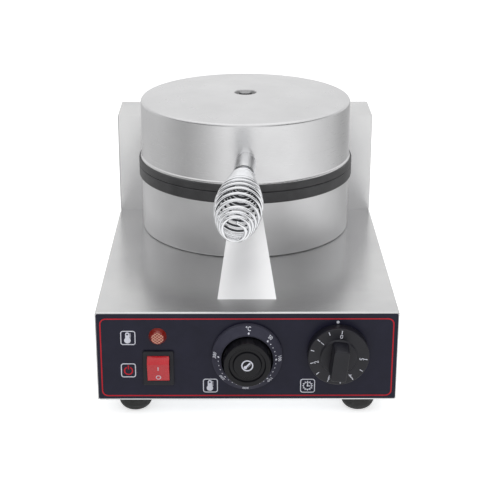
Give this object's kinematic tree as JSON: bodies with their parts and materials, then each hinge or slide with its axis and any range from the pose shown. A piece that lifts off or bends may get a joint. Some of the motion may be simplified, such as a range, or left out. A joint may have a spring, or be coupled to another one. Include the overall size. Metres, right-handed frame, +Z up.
{
  "type": "waffle maker",
  "caption": "Round countertop waffle maker: steel base with control panel, lower pan, domed lid hinged between two rear towers, and a wound wire lift handle.",
  "frame": {"origin": "centre of the footprint's bounding box, at the underside of the feet", "axes": "+X to the right seen from the front, +Y towards the back, where the hinge and the cord's gland are, +Z up"},
  "size_m": [0.27, 0.4284, 0.2466],
  "materials": {
    "steel_satin": "satin",
    "steel_bright": "bright",
    "steel_plated": "zinc plated",
    "chrome": "polished",
    "iron_coated": "non-stick coated",
    "heater_sheath": "heat darkened",
    "panel_dark": "satin",
    "plastic_black": "satin",
    "plastic_red": "gloss",
    "plastic_red_clear": "clear gloss",
    "plastic_white": "matte",
    "rubber_black": "matte",
    "brass": "plain",
    "bronze": "sintered",
    "copper": "drawn copper"
  },
  "bodies": {
    "base": {"base_housing": "steel_satin", "bearing_plate_left": "steel_plated", "bearing_plate_right": "steel_plated", "bearing_screws": "steel_plated", "blade_terminals": "brass", "bottom_plate": "steel_plated", "bottom_screws": "steel_plated", "control_panel": "panel_dark", "cord_gland": "plastic_black", "earth_nut": "brass", "earth_stud": "brass", "foot_front_left": "rubber_black", "foot_front_right": "rubber_black", "foot_rear_left": "rubber_black", "foot_rear_right": "rubber_black", "foot_screws": "steel_plated", "gland_locknut": "plastic_black", "hinge_bush_left": "bronze", "hinge_bush_right": "bronze", "lamp_holder": "plastic_black", "lamp_lens": "plastic_red_clear", "lower_clamp_disc": "steel_plated", "lower_heater": "heater_sheath", "lower_pan_shell": "steel_satin", "lower_plate": "iron_coated", "pan_bolts": "steel_plated", "pan_spacers": "steel_plated", "scale_ring": "plastic_black", "sensor_duct": "steel_satin", "stem_nuts": "steel_plated", "stop_pins": "steel_plated", "switch_housing": "plastic_black", "terminal_block": "plastic_white", "thermostat_body": "steel_plated", "thermostat_sensor": "copper", "timer_body": "steel_plated", "tower_cover_left": "steel_satin", "tower_cover_right": "steel_satin", "tower_left": "steel_satin", "tower_right": "steel_satin"},
    "lid": {"upper_pan_shell": "steel_satin", "upper_plate": "iron_coated", "upper_heater": "heater_sheath", "upper_clamp_disc": "steel_plated", "disc_nut": "steel_plated", "lid_bolt": "steel_bright", "hinge_arm_left": "steel_satin", "hinge_arm_right": "steel_satin", "arm_screws": "steel_plated", "hinge_shaft": "steel_plated", "shaft_rings": "steel_plated", "handle_ferrule": "steel_satin", "handle_bolt": "steel_plated", "handle_spring": "chrome"},
    "thermostat_dial": {"thermostat_knob": "plastic_black", "thermostat_spindle": "steel_plated"},
    "timer_dial": {"timer_knob": "plastic_black", "timer_spindle": "steel_plated"},
    "rocker": {"switch_paddle": "plastic_red"}
  },
  "joints": [
    {"name": "lid_hinge", "type": "hinge", "parent": "base", "child": "lid", "pos_m": [0, 0.17925, 0.1815], "axis": [-1, 0, 0], "range_deg": [0, 100]},
    {"name": "thermostat_turn", "type": "hinge", "parent": "base", "child": "thermostat_dial", "pos_m": [0, -0.18175, 0.0651], "axis": [0, 1, 0], "range_deg": [0, 270]},
    {"name": "timer_turn", "type": "hinge", "parent": "base", "child": "timer_dial", "pos_m": [0.081, -0.18175, 0.0685], "axis": [0, 1, 0], "range_deg": [0, 260]},
    {"name": "power_rocker", "type": "hinge", "parent": "base", "child": "rocker", "pos_m": [-0.0794, -0.17825, 0.0533], "axis": [-1, 0, 0], "range_deg": [0, 32]}
  ]
}
